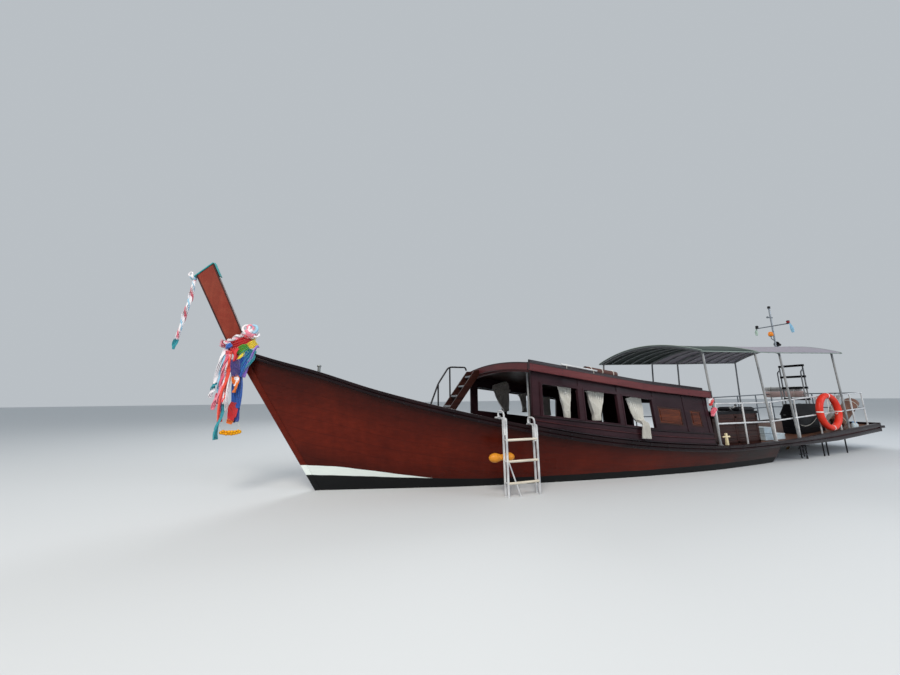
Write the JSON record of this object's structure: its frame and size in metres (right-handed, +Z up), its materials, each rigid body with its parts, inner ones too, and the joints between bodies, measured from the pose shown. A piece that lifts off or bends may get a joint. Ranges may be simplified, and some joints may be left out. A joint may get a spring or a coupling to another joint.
{
  "type": "longtail boat",
  "caption": "Wooden longtail tour boat with a raked prow board, a windowed cabin, a roof stair and a canopied stern platform with rails, ladder and mast.",
  "frame": {"origin": "on the centreline amidships, at the surface of the water", "axes": "+X to the bow, +Y to port, +Z up"},
  "size_m": [13.116, 2.4768, 3.7216],
  "materials": {
    "hull_varnish": "gloss varnish over red-brown planks",
    "maroon_paint": "gloss maroon paint",
    "fascia_paint": "satin pink-brown paint",
    "prow_paint": "satin brick-brown paint",
    "teal_paint": "satin paint",
    "deck_boards": "worn oiled boards",
    "stainless_steel": "polished tube",
    "black_paint": "satin black paint",
    "green_canopy": "coated cloth",
    "pale_canopy": "coated cloth",
    "curtain_cotton": "plain cotton",
    "buoy_foam": "painted foam",
    "cream_paint": "gloss paint",
    "brown_wood": "varnished boards",
    "black_vinyl": "upholstery vinyl",
    "float_plastic": "moulded plastic",
    "bronze": "dull cast bronze",
    "garland_cloth": "satin ribbons and sashes",
    "mat_reed": "woven mat"
  },
  "bodies": {
    "boat": {"hull_shell": "hull_varnish", "transom": "hull_varnish", "keel": "hull_varnish", "prow_board": "prow_paint", "prow_cap": "teal_paint", "rub_rail_port": "maroon_paint", "rub_rail_starboard": "maroon_paint", "foredeck": "deck_boards", "fore_bulkhead": "maroon_paint", "cabin_floor": "deck_boards", "aft_deck": "deck_boards", "overhang_frame": "maroon_paint", "stern_frame": "maroon_paint", "stern_beam": "maroon_paint", "cabin_side_port": "maroon_paint", "cabin_side_starboard": "maroon_paint", "front_header": "fascia_paint", "cabin_aft_wall": "maroon_paint", "cabin_roof": "maroon_paint", "roof_fascia": "fascia_paint", "roof_rail": "black_paint", "roof_stair": "maroon_paint", "stair_handrail": "black_paint", "grab_pole": "stainless_steel", "bench_port": "deck_boards", "bench_starboard": "deck_boards", "canopy_hoop_1": "stainless_steel", "canopy_hoop_2": "stainless_steel", "canopy_hoop_3": "stainless_steel", "canopy_hoop_4": "stainless_steel", "canopy_front": "green_canopy", "canopy_aft": "pale_canopy", "side_rail_port": "stainless_steel", "side_rail_starboard": "stainless_steel", "stern_rail": "stainless_steel", "mast": "stainless_steel", "canopy_ladder": "black_paint", "helm_locker": "brown_wood", "helm_cushion": "black_vinyl", "engine_block": "black_paint", "engine_cover": "black_paint", "lifebuoy": "buoy_foam", "rolled_mat": "mat_reed", "stern_bitt": "cream_paint", "bow_bollard": "maroon_paint", "edge_posts": "black_paint", "boarding_ladder": "stainless_steel", "float": "float_plastic", "curtains_starboard": "curtain_cotton", "curtains_port": "curtain_cotton", "bow_garland": "garland_cloth", "tip_ribbon": "garland_cloth", "roof_mat": "mat_reed", "shaft_gland": "bronze", "shaft_bracket": "bronze"},
    "drive": {"propeller_shaft": "stainless_steel", "propeller": "bronze"},
    "rudder": {"rudder": "bronze"},
    "helm": {"steering_wheel": "brown_wood"},
    "cover_lid": {"engine_cover_lid": "black_paint"}
  },
  "joints": [
    {"name": "propeller_spin", "type": "hinge", "parent": "boat", "child": "drive", "pos_m": [-2.425, 0, -0.06], "axis": [0.9985, 0, 0.0549], "continuous": true},
    {"name": "wheel_turn", "type": "hinge", "parent": "boat", "child": "helm", "pos_m": [-0.862, 0.42, 0.9], "axis": [1, 0, 0], "range_deg": [-540, 540]},
    {"name": "rudder_turn", "type": "hinge", "parent": "boat", "child": "rudder", "pos_m": [-5.25, 0, 0], "axis": [0, 0, 1], "range_deg": [-35, 35]},
    {"name": "lid_open", "type": "hinge", "parent": "boat", "child": "cover_lid", "pos_m": [-3.868, 0, 0.7406], "axis": [0, 1, 0], "range_deg": [0, 75]}
  ],
  "couplings": [
    {"joint": "rudder_turn", "follows": "wheel_turn", "ratio": 0.0648}
  ]
}
